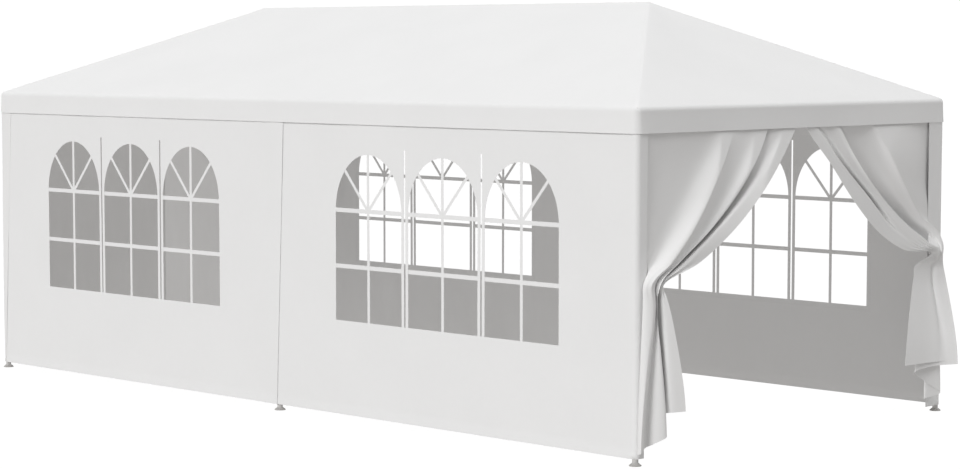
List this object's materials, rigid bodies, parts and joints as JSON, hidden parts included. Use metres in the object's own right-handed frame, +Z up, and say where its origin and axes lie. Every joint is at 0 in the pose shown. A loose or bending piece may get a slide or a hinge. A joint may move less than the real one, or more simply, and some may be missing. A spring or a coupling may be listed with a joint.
{
  "type": "marquee tent",
  "caption": "White party marquee on a steel tube frame, with a hip roof, arched window walls, a zipped door wall and tied-back door curtains.",
  "frame": {"origin": "on the ground under the middle of the tent's footprint", "axes": "+X along the ridge towards the open end with the tied-back curtains, -Y is the front long side, +Z up"},
  "size_m": [6.0621, 2.958, 2.57],
  "materials": {
    "cover_fabric": "white woven polyethylene sheet, satin",
    "wall_fabric": "white woven polyethylene sheet, satin",
    "door_fabric": "white woven polyethylene sheet, soft",
    "window_film": "clear window film",
    "coated_tube": "white powder coat",
    "coated_fitting": "white powder coat over welds",
    "foot_plastic": "light grey moulded foot"
  },
  "bodies": {
    "root": {"corner_fitting_back_left": "coated_fitting", "corner_fitting_back_right": "coated_fitting", "corner_fitting_front_left": "coated_fitting", "corner_fitting_front_right": "coated_fitting", "door_curtain_back": "door_fabric", "door_curtain_front": "door_fabric", "door_panel_back": "door_fabric", "door_panel_front": "door_fabric", "eave_fitting_back": "coated_fitting", "eave_fitting_front": "coated_fitting", "eave_tube_back_left": "coated_tube", "eave_tube_back_right": "coated_tube", "eave_tube_front_left": "coated_tube", "eave_tube_front_right": "coated_tube", "eave_tube_left": "coated_tube", "eave_tube_right": "coated_tube", "foot_back_left": "foot_plastic", "foot_back_middle": "foot_plastic", "foot_back_right": "foot_plastic", "foot_front_left": "foot_plastic", "foot_front_middle": "foot_plastic", "foot_front_right": "foot_plastic", "hip_rafter_back_left": "coated_tube", "hip_rafter_back_right": "coated_tube", "hip_rafter_front_left": "coated_tube", "hip_rafter_front_right": "coated_tube", "leg_back_left": "coated_tube", "leg_back_middle": "coated_tube", "leg_back_right": "coated_tube", "leg_front_left": "coated_tube", "leg_front_middle": "coated_tube", "leg_front_right": "coated_tube", "middle_rafter_back": "coated_tube", "middle_rafter_front": "coated_tube", "ridge_fitting_left": "coated_fitting", "ridge_fitting_middle": "coated_fitting", "ridge_fitting_right": "coated_fitting", "ridge_tube_left": "coated_tube", "ridge_tube_right": "coated_tube", "roof_back": "cover_fabric", "roof_front": "cover_fabric", "roof_left": "cover_fabric", "roof_right": "cover_fabric", "valance_back": "cover_fabric", "valance_front": "cover_fabric", "valance_left": "cover_fabric", "valance_right": "cover_fabric", "wall_back_left": "wall_fabric", "wall_back_right": "wall_fabric", "wall_front_left": "wall_fabric", "wall_front_right": "wall_fabric", "window_film_back_left": "window_film", "window_film_back_right": "window_film", "window_film_front_left": "window_film", "window_film_front_right": "window_film"}
  },
  "joints": []
}
